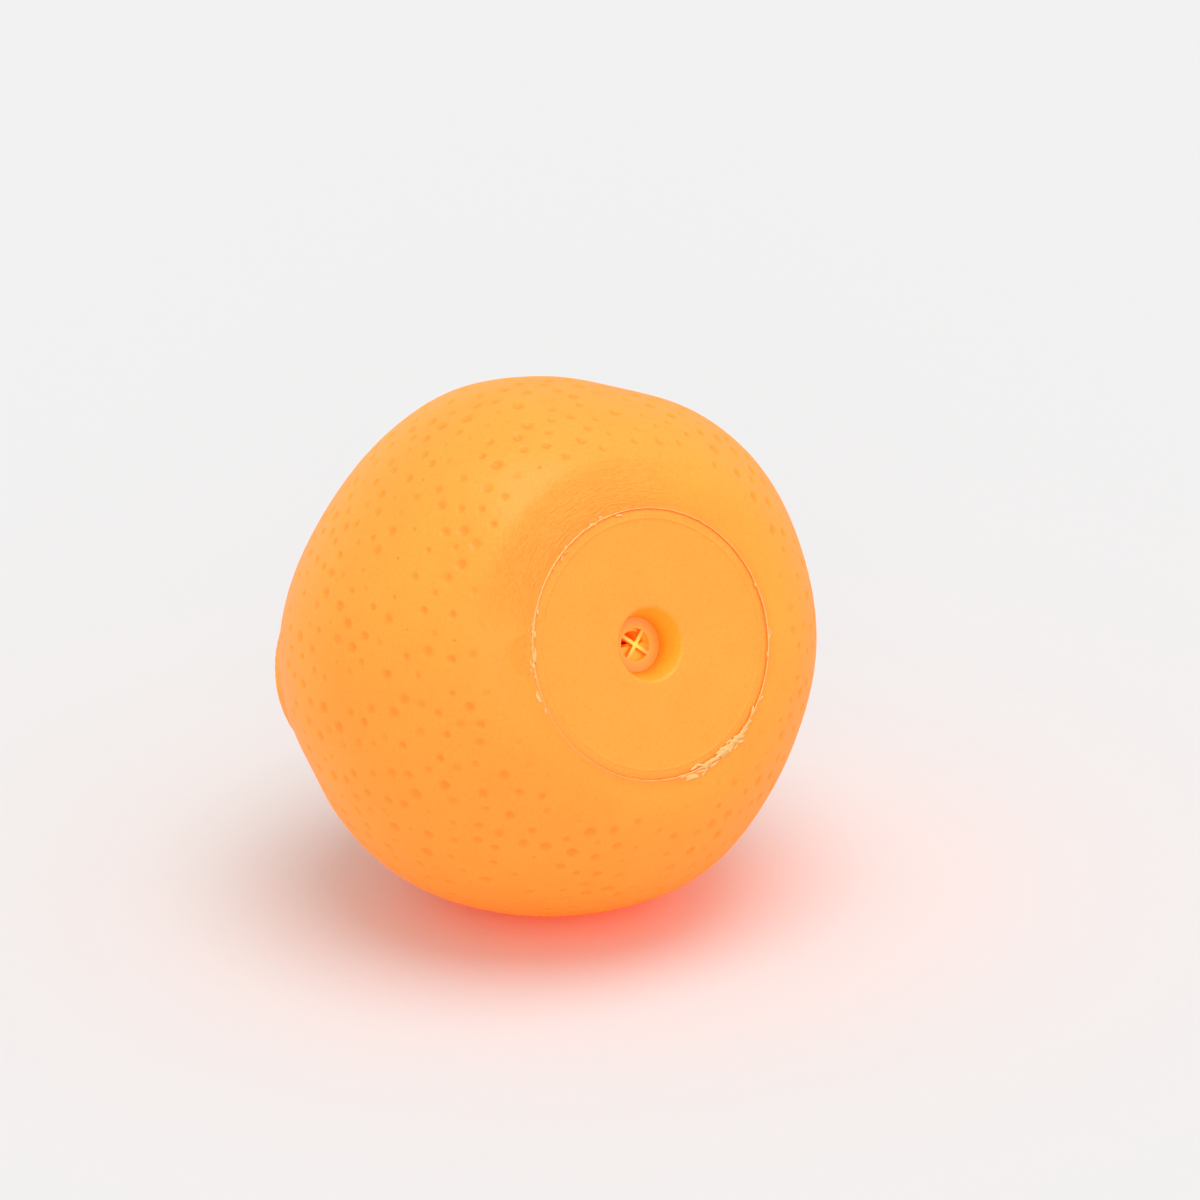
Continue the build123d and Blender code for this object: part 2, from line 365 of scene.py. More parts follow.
# the base's own clock
CLOCK_RIGHT = (RIGHT - RIGHT.dot(BASE_NORMAL) * BASE_NORMAL).normalized()
CLOCK_UP = BASE_NORMAL.cross(CLOCK_RIGHT)
CLOCK_START = math.atan2(CLOCK_RIGHT.dot(TOY_Y), CLOCK_RIGHT.dot(TOY_X))
CLOCK_SENSE = 1 if CLOCK_UP.dot(TOY_Z.cross(CLOCK_RIGHT)) > 0 else -1


def toy_turn(clock):
    """Angle about the toy's axis of a direction on the base's clock."""
    return CLOCK_START + CLOCK_SENSE * np.radians(clock)


# ---------------------------------------------------------------- shared sums
def smooth(value):
    """An even rise from 0 to 1, level at both ends."""
    value = np.clip(value, 0, 1)
    return value * value * (3 - 2 * value)


def wrapped(turn):
    """An angle in radians, between a half turn back and a half turn on."""
    return (turn + math.pi) % (2 * math.pi) - math.pi


def clock_bell(clock, middle, spread):
    """A bell curve round a clock face, 1 at its middle."""
    off = (clock - middle + 180) % 360 - 180
    return np.exp(-((off / spread) ** 2) / 2)


def ring_points(radius, height, turns):
    """Points on a level ring about the toy's axis."""
    heights = np.full(len(turns), height)
    return np.stack([radius * np.cos(turns), radius * np.sin(turns), heights], 1)


def bridge(mesh, rings):
    """Faces between each closed ring of vertices and the next, and from the last to the first."""
    for ring, following in zip(rings, rings[1:] + rings[:1]):
        for i in range(len(ring)):
            j = (i + 1) % len(ring)
            mesh.faces.new((ring[i], ring[j], following[j], following[i]))


def as_object(name, mesh):
    """A smooth-shaded object from a finished mesh."""
    data = bpy.data.meshes.new(name)
    mesh.to_mesh(data)
    mesh.free()
    data.polygons.foreach_set("use_smooth", [True] * len(data.polygons))
    item = bpy.data.objects.new(name, data)
    bpy.context.collection.objects.link(item)
    return item


# ---------------------------------------------------------------- profile of the skin
def arc(centre, radius, start, end, steps):
    """Points on an arc, as radius and height."""
    angles = np.linspace(start, end, steps)
    return np.stack([centre[0] + radius * np.cos(angles), centre[1] + radius * np.sin(angles)], 1)


def skin_profile():
    """The skin's outline from the seam to the crown: distance from the seam, and radius and height."""
    lower_x = BALL_RADIUS - LOWER_ARC
    drop = CROWN_ARC - CROWN_HEIGHT
    upper = (CROWN_ARC**2 - BALL_RADIUS**2 - drop**2) / (2 * (CROWN_ARC - BALL_RADIUS))
    upper_x = BALL_RADIUS - upper
    slope = math.atan(SHOULDER_SLOPE)
    # the fillet between the shoulder and the lower arc touches both
    lift = SHOULDER_FILLET / math.cos(slope) - SHOULDER_SLOPE * SEAM_RADIUS
    a = 1 + SHOULDER_SLOPE**2
    b = SHOULDER_SLOPE * (lift - EQUATOR_Z) - lower_x
    c = lower_x**2 + (lift - EQUATOR_Z) ** 2 - (LOWER_ARC - SHOULDER_FILLET) ** 2
    fillet_x = (-b + math.sqrt(b * b - a * c)) / a
    fillet_z = lift + SHOULDER_SLOPE * fillet_x
    turn = math.atan2(fillet_z - EQUATOR_Z, fillet_x - lower_x)
    join = math.atan2(drop, upper_x)
    foot = (fillet_x + SHOULDER_FILLET * math.sin(slope), fillet_z - SHOULDER_FILLET * math.cos(slope))
    run = np.linspace(0, 1, SHOULDER_STEPS)[:, None]
    shoulder = (1 - run) * np.array([SEAM_RADIUS, 0]) + run * np.array(foot)
    pieces = [
        shoulder,
        arc((fillet_x, fillet_z), SHOULDER_FILLET, slope - math.pi / 2, turn, FILLET_STEPS),
        arc((lower_x, EQUATOR_Z), LOWER_ARC, turn, 0, LOWER_STEPS),
        arc((upper_x, EQUATOR_Z), upper, 0, join, UPPER_STEPS),
        arc((0, EQUATOR_Z - drop), CROWN_ARC, join, math.pi / 2, CROWN_STEPS),
    ]
    points = np.concatenate([piece if i == 0 else piece[1:] for i, piece in enumerate(pieces)])
    lengths = np.concatenate([[0], np.cumsum(np.linalg.norm(np.diff(points, axis=0), axis=1))])
    return lengths, points


PROFILE_LENGTH, PROFILE = skin_profile()
SKIN_RUN = PROFILE_LENGTH[-1]
SEAM_ANGLE = math.atan2(SEAM_RADIUS, EQUATOR_Z)
TANGENT = np.gradient(PROFILE, PROFILE_LENGTH, axis=0)
TANGENT /= np.linalg.norm(TANGENT, axis=1)[:, None]


def from_seam(unit):
    """Distance from the seam, for directions on a unit sphere.

    The sphere's angle from the base is turned evenly into distance along the profile."""
    angle = np.arccos(np.clip(-unit[:, 2], -1, 1))
    return (angle - SEAM_ANGLE) / (math.pi - SEAM_ANGLE) * SKIN_RUN


def on_skin(unit):
    """Surface points, outward normals and distances from the seam, for directions on a unit sphere."""
    run = from_seam(unit)
    around = np.arctan2(unit[:, 1], unit[:, 0])
    radius = np.interp(run, PROFILE_LENGTH, PROFILE[:, 0])
    height = np.interp(run, PROFILE_LENGTH, PROFILE[:, 1])
    out_r = np.interp(run, PROFILE_LENGTH, TANGENT[:, 1])
    out_z = -np.interp(run, PROFILE_LENGTH, TANGENT[:, 0])
    points = np.stack([radius * np.cos(around), radius * np.sin(around), height], 1)
    normals = np.stack([out_r * np.cos(around), out_r * np.sin(around), out_z], 1)
    return points, normals, run


# ---------------------------------------------------------------- relief of the skin
def lumps(points):
    """Height of the slow unevenness at points on the skin, in the toy's axes."""
    away = to_row(points) - np.array(BALL_MIDDLE)
    away /= np.linalg.norm(away, axis=1)[:, None]
    across, up, back = (away @ np.array(axis) for axis in (RIGHT, UP, BACK))
    clock = np.degrees(np.arctan2(up, across))
    depth = np.degrees(np.arcsin(np.clip(back, -1, 1)))
    height = np.zeros(len(points))
    for at, size, spread in LUMPS:
        height += size * MM * clock_bell(clock, at, spread)
    height *= np.exp(-((depth / LUMP_DEPTH_SPREAD) ** 2) / 2)
    ripple = [noise.noise(Vector(point) / RIPPLE_LENGTH) for point in points]
    return height + RIPPLE * np.array(ripple)


def from_leaf(unit):
    """Distance along and across the leaf's line, the leaf's half width there, and the turn from it."""
    pointing = RIGHT * math.cos(math.radians(LEAF_CLOCK)) + UP * math.sin(math.radians(LEAF_CLOCK))
    heading = math.atan2(pointing.dot(TOY_Y), pointing.dot(TOY_X))
    from_crown = np.arccos(np.clip(unit[:, 2], -1, 1))
    turn = wrapped(np.arctan2(unit[:, 1], unit[:, 0]) - heading)
    along = from_crown * BALL_RADIUS
    across = np.sin(from_crown) * turn * BALL_RADIUS
    share = np.clip(along / LEAF_LENGTH, 0, 1)
    half = LEAF_HALF_WIDTH * np.sin(math.pi * share**LEAF_WIDEST) ** LEAF_ROUNDNESS
    half = np.where(np.abs(turn) < math.pi / 2, half, 0)
    return along, across, half, turn


def vein_relief(along, across, inside):
    """Depth of the midrib and the slanting veins."""
    midrib = np.exp(-((across / MIDRIB_WIDTH) ** 2))
    slant = (along - VEIN_SLANT * np.abs(across)) / VEIN_GAP
    off = (slant - np.round(slant)) * VEIN_GAP
    veins = VEIN_STRENGTH * np.exp(-((off / VEIN_WIDTH) ** 2))
    ending = smooth((VEIN_END * LEAF_LENGTH - along) / VEIN_FADE)
    return VEIN_DEPTH * np.maximum(midrib, veins) * smooth(inside / VEIN_MARGIN) * ending


def leaf_relief(unit):
    """Height of the leaf with its veins, the sepals and the stem."""
    along, across, half, turn = from_leaf(unit)
    inside = half - np.abs(across)
    edge = LEAF_EDGE * (1 + TIP_SOFTNESS * (along / LEAF_LENGTH) ** 3)
    leaf = LEAF_HEIGHT * smooth(inside / edge)
    leaf -= np.where(half > 0, vein_relief(along, across, inside), 0)
    reach = SEPAL_REACH * (1 - SEPAL_SWING + SEPAL_SWING * np.cos(SEPALS * turn))
    sepals = SEPAL_HEIGHT * smooth((reach - along) / SEPAL_EDGE)
    stem = STEM_HEIGHT * smooth((STEM_RADIUS - along) / STEM_EDGE)
    return np.maximum(leaf, sepals) + stem


def near_leaf(unit, margin):
    """Which points are on the leaf or the sepals, or within the margin of them."""
    along, across, half, _ = from_leaf(unit)
    return ((half > 0) & (np.abs(across) < half + margin)) | (along < SEPAL_REACH + margin)


def patch_share(unit):
    """How far inside the half-oval patch a point is: 1 in its middle, 0 at its edge."""
    turn = wrapped(np.arctan2(unit[:, 1], unit[:, 0]) - toy_turn(PATCH_CLOCK))
    out = from_seam(unit) - PATCH_OUT
    along = turn * (SEAM_RADIUS + out)
    inside = 1 - (out / PATCH_REACH) ** 2 - (along / PATCH_HALF_LENGTH) ** 2
    return np.where(out > 0, inside, -1)


def near_patch(unit):
    """Which points are on the patch or just round it."""
    return patch_share(unit) > PATCH_SURROUND


# ---------------------------------------------------------------- dimples
def smooth_band(around):
    """Width of the smooth band outside the seam, by angle about the toy's axis."""
    return BAND_MIDDLE + BAND_SWING * np.cos(around - toy_turn(BAND_CLOCK))


def tangent_pair(unit):
    """Two directions square to each unit vector and to each other."""
    helper = np.where(np.abs(unit[:, 2:3]) < 0.9, [[0.0, 0.0, 1.0]], [[1.0, 0.0, 0.0]])
    first = np.cross(unit, helper)
    first /= np.linalg.norm(first, axis=1)[:, None]
    return first, np.cross(unit, first)


def scatter(rng):
    """The dimples' middles: unit vectors thrown at random, none too near another."""
    heights = rng.uniform(-math.cos(SEAM_ANGLE), 1, DIMPLE_TRIES)
    around = rng.uniform(-math.pi, math.pi, DIMPLE_TRIES)
    flat = np.sqrt(1 - heights**2)
    thrown = np.stack([flat * np.cos(around), flat * np.sin(around), heights], 1)
    thrown = thrown[from_seam(thrown) > smooth_band(around)]
    thrown = thrown[~near_leaf(thrown, LEAF_CLEARANCE)]
    kept = np.zeros((DIMPLE_TRIES, 3))
    count = 0
    nearest = math.cos(DIMPLE_GAP / BALL_RADIUS)
    for one in thrown:
        if count == 0 or (kept[:count] @ one).max() < nearest:
            kept[count] = one
            count += 1
    return kept[:count]


def dimple_sizes(rng, centres):
    """Radius and depth of each dimple."""
    count = len(centres)
    radius = rng.uniform(*DIMPLE_RADIUS, count) * MM
    depth = radius * rng.uniform(*DIMPLE_DEPTH, count)
    pin = rng.random(count) < PIN_SHARE
    radius[pin] = rng.uniform(*PIN_RADIUS, pin.sum()) * MM
    depth[pin] = radius[pin] * PIN_DEPTH
    band = smooth_band(np.arctan2(centres[:, 1], centres[:, 0]))
    depth *= np.clip((from_seam(centres) - band) / DIMPLE_FADE, SHALLOWEST, 1)
    return radius, depth


def dimple_rings(centres, radius, depth):
    """Lists of unit vectors in the dimples and round them, and of how deep each is pressed in."""
    side, other = tangent_pair(centres)
    points = [centres]
    pressed = [depth]
    for share, corners, press in RING_SHAPE:
        reach = (share * radius / BALL_RADIUS)[:, None]
        for corner in range(corners):
            turn = 2 * math.pi * corner / corners
            moved = centres + reach * (math.cos(turn) * side + math.sin(turn) * other)
            points.append(moved / np.linalg.norm(moved, axis=1)[:, None])
            pressed.append(press * depth)
    return points, pressed


# ---------------------------------------------------------------- the skin's mesh
def spiral(spacing):
    """Evenly spread unit vectors on a golden spiral."""
    count = int(4 * math.pi * BALL_RADIUS**2 / (SPIRAL_AREA * spacing**2))
    index = np.arange(count) + 0.5
    height = 1 - 2 * index / count
    around = math.pi * (1 + math.sqrt(5)) * index
    flat = np.sqrt(1 - height**2)
    return np.stack([flat * np.cos(around), flat * np.sin(around), height], 1)


def fill_points(centres, radius):
    """Unit vectors between the dimples, closer together on the leaf and the patch."""
    fill = spiral(FILL_SPACING)
    last_rim = SEAM_ANGLE + (RIM_STEPS[-1] + RIM_CLEARANCE) / BALL_RADIUS
    fill = fill[np.arccos(-fill[:, 2]) > last_rim]
    clear = np.ones(len(fill), bool)
    guard = np.cos((RING_SHAPE[-1][0] * radius + FILL_CLEARANCE) / BALL_RADIUS)
    for block in range(0, len(fill), BLOCK):
        near = fill[block:block + BLOCK] @ centres.T
        clear[block:block + BLOCK] = (near < guard[None, :]).all(1)
    fill = fill[clear & ~near_leaf(fill, COARSE_MARGIN) & ~near_patch(fill)]
    fine = spiral(FINE_SPACING)
    fine = fine[near_leaf(fine, FINE_MARGIN) | near_patch(fine)]
    return np.concatenate([fill, fine])


def rim_points():
    """Rings of unit vectors beside the seam, each turned half a step from the one before."""
    rings = []
    for number, distance in enumerate(RIM_STEPS):
        angle = SEAM_ANGLE + distance / SKIN_RUN * (math.pi - SEAM_ANGLE)
        turns = (np.arange(RIM_SEGMENTS) + 0.5 * (number % 2)) * 2 * math.pi / RIM_SEGMENTS
        rings.append(ring_points(math.sin(angle), -math.cos(angle), turns))
    return np.concatenate(rings)


def peel_points():
    """All unit vectors of the skin's mesh, with how deep each one is pressed in."""
    rng = np.random.default_rng(DIMPLE_SEED)
    centres = scatter(rng)
    radius, depth = dimple_sizes(rng, centres)
    points, pressed = dimple_rings(centres, radius, depth)
    for level in (fill_points(centres, radius), rim_points()):
        points.append(level)
        pressed.append(np.zeros(len(level)))
    return np.concatenate(points), np.concatenate(pressed)


def triangles(unit):
    """Delaunay triangles of points on the sphere, projected from the base's pole onto a plane."""
    flat = unit[:, :2] / (1 + unit[:, 2:3])
    joined = delaunay_2d_cdt([Vector(point) for point in flat], [], [], 0, MERGE_DISTANCE)
    kept = [sources[0] for sources in joined[3]]
    return [tuple(kept[corner] for corner in face) for face in joined[2]]


def widest(corners):
    """The largest step between two corners of a triangle, along any axis."""
    return np.abs(corners - np.roll(corners, 1, 0)).max()


def make_skin():
    """The whole peel: one skin, triangulated round its dimples."""
    unit, pressed = peel_points()
    points, normals, run = on_skin(unit)
    patch = patch_share(unit)
    heights = lumps(points) * smooth(run / LUMP_START) + leaf_relief(unit)
    heights -= PATCH_DEPTH * smooth(patch / PATCH_EDGE)
    row = to_row(points + normals * (heights - pressed)[:, None])
    row[:, 2] = np.maximum(row[:, 2], FLOOR_CLEARANCE)
    corners = [face for face in triangles(unit) if widest(points[list(face)]) < WIDEST_FACE]
    data = bpy.data.meshes.new("orange_skin")
    data.from_pydata(row.tolist(), [], corners)
    # painted shade: the dimples and the sunk patch get a deeper colour, through the 'dimple' attribute
    dimple_shade = np.clip(pressed / DIMPLE_FULL_SHADE_DEPTH, 0, 1)
    painted_shade = np.maximum(dimple_shade, PATCH_SHADE * smooth(patch / PATCH_SHADE_EDGE))
    attribute = data.attributes.new("dimple", "FLOAT", "POINT")
    attribute.data.foreach_set("value", painted_shade.astype(np.float32))
    mesh = bmesh.new()
    mesh.from_mesh(data)
    bmesh.ops.recalc_face_normals(mesh, faces=mesh.faces)
    return as_object("orange_skin", mesh)


# ---------------------------------------------------------------- the plug
def plug_outline():
    """The plug's section as closed radius and height pairs, from the hole's floor round to itself."""
    # the mouth is rounded off between the taper and the face
    taper = math.atan2(MOUTH_RADIUS - HOLE_FLOOR_RADIUS, HOLE_DEPTH)
    tangent = MOUTH_ROUNDING * math.tan((math.pi / 2 - taper) / 2)
    centre = (MOUTH_RADIUS + tangent, MOUTH_ROUNDING)
    mouth = arc(centre, MOUTH_ROUNDING, math.pi - taper, 3 * math.pi / 2, MOUTH_STEPS)
    bevel = PLUG_RADIUS - BEVEL_WIDTH
    foot = [
        (NECK_RADIUS + NECK_FILLET * (1 - math.cos(turn)), SPIGOT_END + NECK_FILLET * (1 - math.sin(turn)))
        for turn in np.linspace(0, math.pi / 2, NECK_FILLET_STEPS)
    ]
    return [
        (HOLE_FLOOR_RADIUS, HOLE_DEPTH),
        *[tuple(point) for point in mouth],
        *[(radius * MM, 0) for radius in np.arange(FACE_START, FACE_END, FACE_STEP)],
        *[(INNER_LINE + out * MM, deep * MM) for out, deep in LINE_SECTION],
        *[(bevel + out * MM, deep * MM) for out, deep in BEVEL_START],
        *[(PLUG_RADIUS + out * MM, BEVEL_DEPTH + deep * MM) for out, deep in BEVEL_END],
        (PLUG_RADIUS, PLUG_FLANGE),
        (SPIGOT_RADIUS, PLUG_FLANGE),
        (SPIGOT_RADIUS, SPIGOT_END),
        *reversed(foot),
        (NECK_RADIUS, NECK_END),
        (SOCKET_RADIUS, NECK_END),
        (SOCKET_RADIUS, GROOVE_HIGH),
        (GROOVE_RADIUS, GROOVE_HIGH),
        (GROOVE_RADIUS, GROOVE_LOW),
        (SOCKET_RADIUS, GROOVE_LOW),
        (SOCKET_RADIUS, HOLE_DEPTH),
    ]


def make_plug():
    """The base disc with its tapered hole, and the neck behind it."""
    mesh = bmesh.new()
    turns = np.arange(PLUG_SEGMENTS) * 2 * math.pi / PLUG_SEGMENTS
    rings = []
    for radius, height in plug_outline():
        ring = ring_points(radius, height, turns)
        if height < FACE_LIMIT and radius > MOUTH_RADIUS + MOUTH_ROUNDING:
            ring[:, 2] += [FACE_WAVE * noise.noise(Vector(point) / FACE_WAVE_LENGTH) for point in ring]
        rings.append([mesh.verts.new(point) for point in to_row(ring)])
    bridge(mesh, rings)
    bmesh.ops.recalc_face_normals(mesh, faces=mesh.faces)
    return as_object("base_disc", mesh)


# ---------------------------------------------------------------- flash along the seam
def flash_height(clock):
    """How far the flash stands out round the seam, before it is roughened."""
    height = np.full(len(clock), FLASH_LEAST)
    for middle, spread, size in FLASH_RUNS:
        height += size * clock_bell(clock, middle, spread)
    return height * MM


def flash_ring(clock, height):
    """The flash's section at one place round the seam."""
    turn = toy_turn(clock)
    facing = np.array([math.cos(turn), math.sin(turn), 0])
    spot = Vector(facing) * FLASH_NOISE
    rough = 1
    for strength, waves in FLASH_ROUGHNESS:
        rough += strength * noise.noise(spot * waves)
    middle = FLASH_RADIUS + FLASH_WANDER * noise.noise(spot * FLASH_WANDER_WAVES + FLASH_WANDER_SHIFT)
    tall = height * max(rough, FLASH_THINNEST)
    wide = FLASH_HALF_WIDTH + FLASH_SPREAD * tall
    section = [(out * wide, sunk * MM - up * tall) for out, up, sunk in FLASH_SECTION]
    return np.array([facing * (middle + out) + [0, 0, z] for out, z in section])


def add_flake(mesh, rng, clock, longest):
    """One torn flake: a flattened blob, longer along the seam than across it."""
    turn = toy_turn(clock)
    facing = np.array([math.cos(turn), math.sin(turn), 0])
    beside = np.array([-math.sin(turn), math.cos(turn), 0])
    lean = rng.normal() * FLAKE_LEAN
    radial = facing * math.cos(lean) + beside * math.sin(lean)
    along = beside * math.cos(lean) - facing * math.sin(lean)
    length = longest * MM * rng.uniform(*FLAKE_LENGTH)
    half_width = length * rng.uniform(*FLAKE_HALF_WIDTH)
    half_thickness = rng.uniform(*FLAKE_HALF_THICKNESS) * MM
    out = FLASH_RADIUS + rng.normal() * FLAKE_SPREAD + FLAKE_OUT
    middle = facing * out
    middle[2] = SHOULDER_SLOPE * max(out - SEAM_RADIUS, 0) - FLAKE_SUNK
    blob = bmesh.ops.create_icosphere(mesh, subdivisions=2, radius=1)
    for vert in blob["verts"]:
        x, y, z = vert.co
        swell = 1 + FLAKE_SWELL * noise.noise(vert.co * FLAKE_WAVES + Vector((clock, out / MM, 0)))
        place = middle + along * x * length / 2 * swell + radial * y * half_width * swell
        place = place - np.array([0, 0, 1]) * z * half_thickness * swell
        vert.co = to_row(place[None, :])[0]


def make_flash():
    """A thin uneven lip along the seam, with torn flakes where the glue and flash were wiped."""
    mesh = bmesh.new()
    clocks = np.arange(FLASH_SEGMENTS) * 360 / FLASH_SEGMENTS
    rings = []
    for clock, height in zip(clocks, flash_height(clocks)):
        rings.append([mesh.verts.new(point) for point in to_row(flash_ring(clock, height))])
    bridge(mesh, rings)
    rng = np.random.default_rng(FLASH_SEED)
    for middle, spread, count, longest in FLASH_BITS:
        for _ in range(count):
            add_flake(mesh, rng, middle + spread * rng.normal(), longest)
    bmesh.ops.recalc_face_normals(mesh, faces=mesh.faces)
    return as_object("seam_flash", mesh)


# ---------------------------------------------------------------- shader nodes
def new_material(name):
    """A material with an empty node tree."""
    material = bpy.data.materials.new(name)
    material.use_nodes = True
    tree = material.node_tree
    tree.nodes.clear()
    return material, tree


def math_node(tree, operation, *values):
    """A Math node on numbers and outputs, in order."""
    node = tree.nodes.new("ShaderNodeMath")
    node.operation = operation
    for socket, value in zip(node.inputs, values):
        if isinstance(value, (int, float)):
            socket.default_value = value
        else:
            tree.links.new(value, socket)
    return node.outputs[0]


def noise_node(tree, place, scale, detail):
    """A noise at a place, between 0 and 1."""
    node = tree.nodes.new("ShaderNodeTexNoise")
    node.inputs["Scale"].default_value = scale
    node.inputs["Detail"].default_value = detail
    tree.links.new(place, node.inputs["Vector"])
    return node.outputs[0]


def mapped(tree, value, limits, interpolation="LINEAR"):
    """A value moved from one range to another."""
    node = tree.nodes.new("ShaderNodeMapRange")
    node.interpolation_type = interpolation
    for name, limit in zip(("From Min", "From Max", "To Min", "To Max"), limits):
        node.inputs[name].default_value = limit
    tree.links.new(value, node.inputs["Value"])
    return node.outputs["Result"]


def object_place(tree):
    """The surface point in the frame."""
    return tree.nodes.new("ShaderNodeTexCoord").outputs["Object"]


def toy_coordinates(tree):
    """The surface point in the toy's own axes, as three outputs in metres."""
    place = object_place(tree)
    found = []
    for axis in (TOY_X, TOY_Y, TOY_Z):
        dot = tree.nodes.new("ShaderNodeVectorMath")
        dot.operation = "DOT_PRODUCT"
        dot.inputs[1].default_value = axis
        tree.links.new(place, dot.inputs[0])
        found.append(math_node(tree, "SUBTRACT", dot.outputs["Value"], BASE_MIDDLE.dot(axis)))
    return found


def mixed_output(tree, surface, through, share):
    """The surface and the light that comes through it; share is a number or an output."""
    mix = tree.nodes.new("ShaderNodeMixShader")
    if isinstance(share, float):
        mix.inputs[0].default_value = share
    else:
        tree.links.new(share, mix.inputs[0])
    tree.links.new(surface.outputs[0], mix.inputs[1])
    tree.links.new(through.outputs[0], mix.inputs[2])
    out = tree.nodes.new("ShaderNodeOutputMaterial")
    tree.links.new(mix.outputs[0], out.inputs["Surface"])


def through_node(tree, colour):
    """The light that comes through from behind."""
    through = tree.nodes.new("ShaderNodeBsdfTranslucent")
    through.inputs["Color"].default_value = (*colour, 1)
    return through


# ---------------------------------------------------------------- materials
def scratches(tree, x, y, z):
    """Fine scratches that run along the seam, on the band above and left of it."""
    squares = math_node(tree, "ADD", math_node(tree, "MULTIPLY", x, x), math_node(tree, "MULTIPLY", y, y))
    radius = math_node(tree, "SQRT", squares)
    turn = math_node(tree, "ARCTAN2", y, x)
    vector = tree.nodes.new("ShaderNodeCombineXYZ")
    tree.links.new(math_node(tree, "MULTIPLY", radius, SCRATCH_ACROSS), vector.inputs[0])
    tree.links.new(math_node(tree, "MULTIPLY", turn, SCRATCH_ALONG), vector.inputs[1])
    streaks = noise_node(tree, vector.outputs[0], 1.0, SCRATCH_DETAIL)
    middle = toy_turn(SCRATCH_CLOCK)
    facing_x = math_node(tree, "MULTIPLY", x, math.cos(middle))
    facing_y = math_node(tree, "MULTIPLY", y, math.sin(middle))
    facing = math_node(tree, "DIVIDE", math_node(tree, "ADD", facing_x, facing_y), radius)
    share = mapped(tree, facing, SCRATCH_FACING, "SMOOTHSTEP")
    off = math_node(tree, "ABSOLUTE", math_node(tree, "SUBTRACT", radius, SCRATCH_MIDDLE))
    near = mapped(tree, off, SCRATCH_BAND, "SMOOTHSTEP")
    low = math_node(tree, "LESS_THAN", z, SCRATCH_TOP)
    masked = math_node(tree, "MULTIPLY", math_node(tree, "MULTIPLY", share, near), low)
    return math_node(tree, "MULTIPLY", streaks, masked)


def vinyl_colour_and_shade(tree, colour, place, z):
    """The vinyl's colour, with mottling and specks, and deeper as painted shade in the dimples, on the sunk
    patch and towards the crown.
    """
    # painted shade: the 'dimple' attribute deepens the colour in the dimples and the sunk patch
    dimple = tree.nodes.new("ShaderNodeAttribute")
    dimple.attribute_name = "dimple"
    pressed = math_node(tree, "MULTIPLY", dimple.outputs["Fac"], DIMPLE_SHADE_SHARE)
    mottle = mapped(tree, noise_node(tree, place, *MOTTLE), MOTTLE_RANGE)
    specks = mapped(tree, noise_node(tree, place, *SPECK), SPECK_RANGE)
    deep = math_node(tree, "ADD", math_node(tree, "MAXIMUM", pressed, mottle), specks)
    # painted shade towards the crown
    deep = math_node(tree, "MAXIMUM", deep, mapped(tree, z, CROWN_SHADE_RANGE))
    tint = tree.nodes.new("ShaderNodeMix")
    tint.data_type = "RGBA"
    ends = [socket for socket in tint.inputs if socket.type == "RGBA"]
    ends[0].default_value = (*colour, 1)
    ends[1].default_value = (colour[0], colour[1] * DEEPER_GREEN, colour[2] * DEEPER_BLUE, 1)
    tree.links.new(deep, tint.inputs[0])
    return [socket for socket in tint.outputs if socket.type == "RGBA"][0]


def vinyl_normal(tree, place, scratch_height):
    """A fine grain, and scratches where there are any."""
    height = math_node(tree, "MULTIPLY", noise_node(tree, place, *GRAIN), GRAIN_HEIGHT)
    if scratch_height is not None:
        height = math_node(tree, "ADD", height, math_node(tree, "MULTIPLY", scratch_height, SCRATCH_HEIGHT))
    bump = tree.nodes.new("ShaderNodeBump")
    bump.inputs["Strength"].default_value = BUMP_STRENGTH
    bump.inputs["Distance"].default_value = BUMP_DISTANCE
    tree.links.new(height, bump.inputs["Height"])
    return bump.outputs[0]


def vinyl_material(name, colour, through_colour, share_at_base, scratched=False):
    """Soft orange vinyl: satin, and letting red light through, less so towards the crown."""
    material, tree = new_material(name)
    place = object_place(tree)
    x, y, z = toy_coordinates(tree)
    scratch_height = scratches(tree, x, y, z) if scratched else None
    surface = tree.nodes.new("ShaderNodeBsdfPrincipled")
    surface.inputs["Roughness"].default_value = VINYL_ROUGHNESS
    surface.inputs["IOR"].default_value = VINYL_IOR
    tree.links.new(vinyl_colour_and_shade(tree, colour, place, z), surface.inputs["Base Color"])
    tree.links.new(vinyl_normal(tree, place, scratch_height), surface.inputs["Normal"])
    share = mapped(tree, z, (THROUGH_FROM, THROUGH_TO, share_at_base, CROWN_SHARE))
    mixed_output(tree, surface, through_node(tree, through_colour), share)
    return material


def plastic_material(name, colour, through_colour, share):
    """The squeaker's milky plastic: its orange is partly its own tint and partly painted bounce light from
    the vinyl all round it.
    """
    material, tree = new_material(name)
    surface = tree.nodes.new("ShaderNodeBsdfPrincipled")
    surface.inputs["Roughness"].default_value = PLASTIC_ROUGHNESS
    surface.inputs["Base Color"].default_value = (*colour, 1)
    mixed_output(tree, surface, through_node(tree, through_colour), share)
    return material


def floor_material():
    """Plain pale paper."""
    material, tree = new_material("paper_floor")
    surface = tree.nodes.new("ShaderNodeBsdfDiffuse")
    surface.inputs["Color"].default_value = (FLOOR_GREY, FLOOR_GREY, FLOOR_GREY, 1)
    out = tree.nodes.new("ShaderNodeOutputMaterial")
    tree.links.new(surface.outputs[0], out.inputs["Surface"])
    return material


# ---------------------------------------------------------------- pieces
def build_skin():
    """The peel replaces both halves of the CAD skin."""
    skin = make_skin()
    material = vinyl_material("orange_skin_vinyl", VINYL, VINYL_THROUGH, SKIN_SHARE, scratched=True)
    skin.data.materials.append(material)
    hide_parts("skin_wall", "skin_crown")
    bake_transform(skin)


